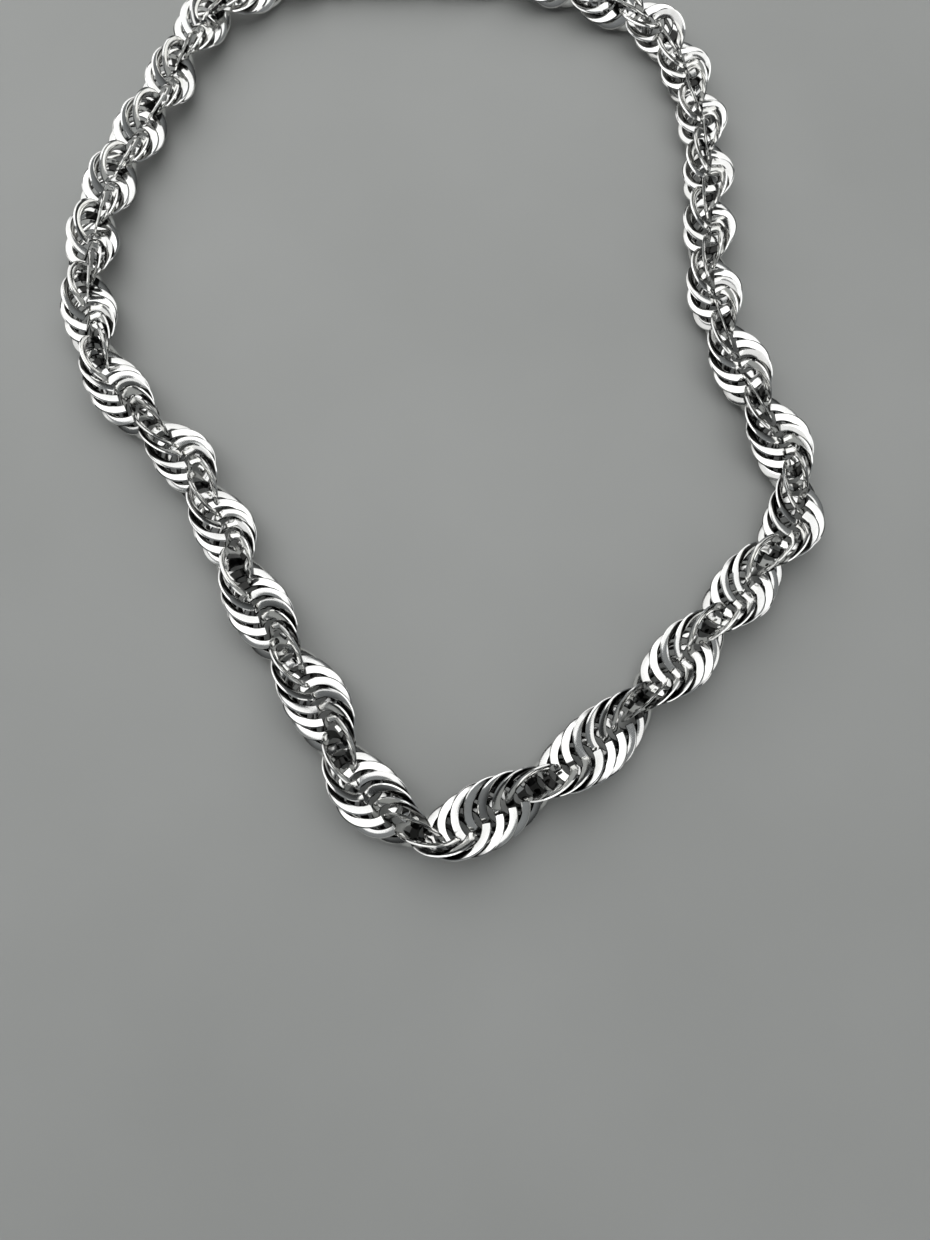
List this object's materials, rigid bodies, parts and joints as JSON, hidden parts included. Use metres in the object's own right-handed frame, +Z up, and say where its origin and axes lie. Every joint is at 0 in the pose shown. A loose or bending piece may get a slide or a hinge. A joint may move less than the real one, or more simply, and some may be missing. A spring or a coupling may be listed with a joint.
{
  "type": "graduated rope chain necklace",
  "caption": "Polished white-metal rope chain necklace of interlocked flat rings twisted into a double strand that swells towards the front, lying flat in a closed loop.",
  "frame": {"origin": "middle of the necklace's bounding box on the surface it lies on", "axes": "+Z up from the surface, -Y from the clasp towards the front of the loop, +X to the right seen from above with the front nearest"},
  "size_m": [0.1288, 0.1722, 0.0102],
  "materials": {
    "chain_silver": "mirror polished silver",
    "fitting_silver": "polished silver with fine handling marks"
  },
  "bodies": {
    "root": {"rope_chain": "chain_silver", "end_cap_right": "fitting_silver", "end_cap_left": "fitting_silver", "clasp": "fitting_silver"}
  },
  "joints": []
}
